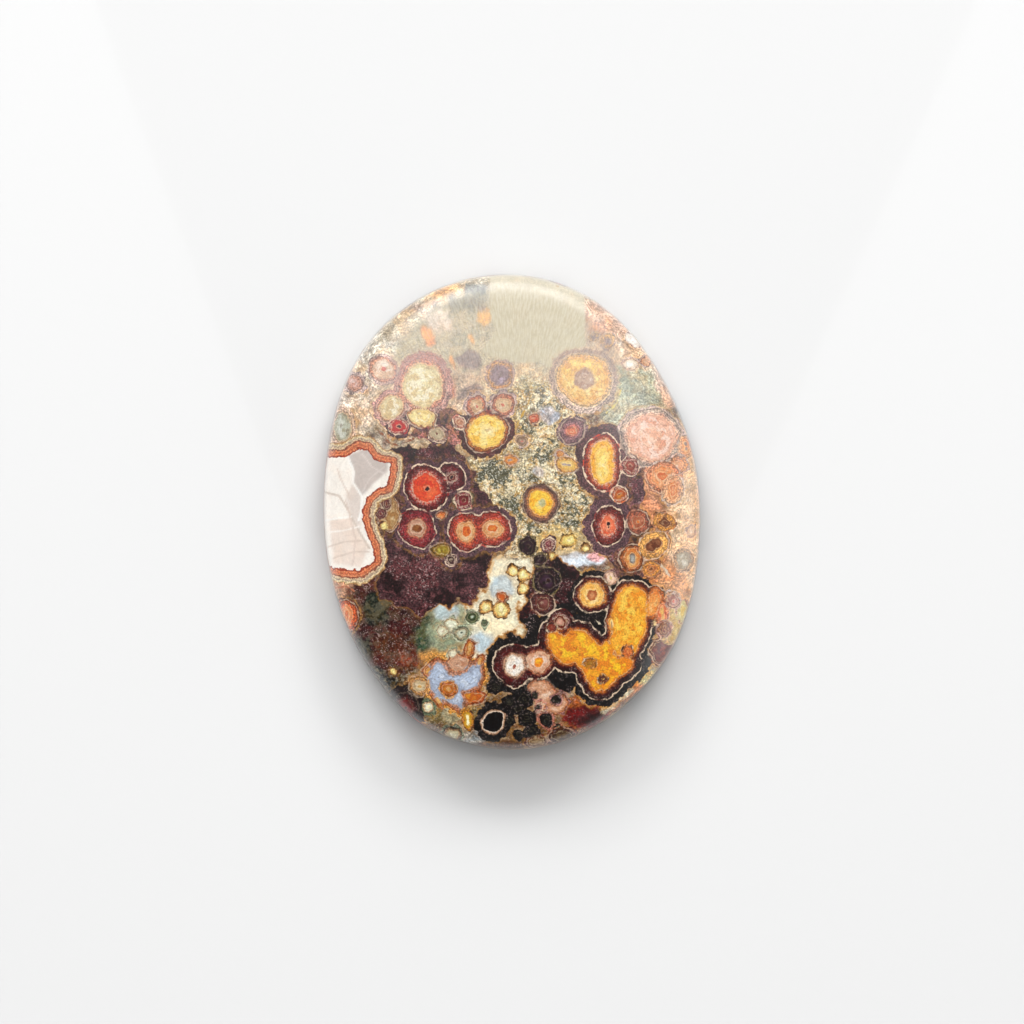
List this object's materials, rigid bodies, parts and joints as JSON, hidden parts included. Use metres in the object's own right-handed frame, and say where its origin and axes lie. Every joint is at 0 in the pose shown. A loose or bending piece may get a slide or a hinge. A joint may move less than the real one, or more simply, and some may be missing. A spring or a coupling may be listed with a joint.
{
  "type": "agate cabochon",
  "caption": "Oval orbicular lace agate cabochon with a low polished dome, a short girdle wall and a flat back, for setting or inlay.",
  "frame": {"origin": "middle of the flat back, on the surface that the stone rests on", "axes": "+Z out of the dome, +Y along the oval's long axis, towards the plain green-grey patch"},
  "size_m": [0.0318, 0.04, 0.0062],
  "materials": {
    "agate": "gloss"
  },
  "bodies": {
    "root": {"agate_cabochon": "agate"}
  },
  "joints": []
}
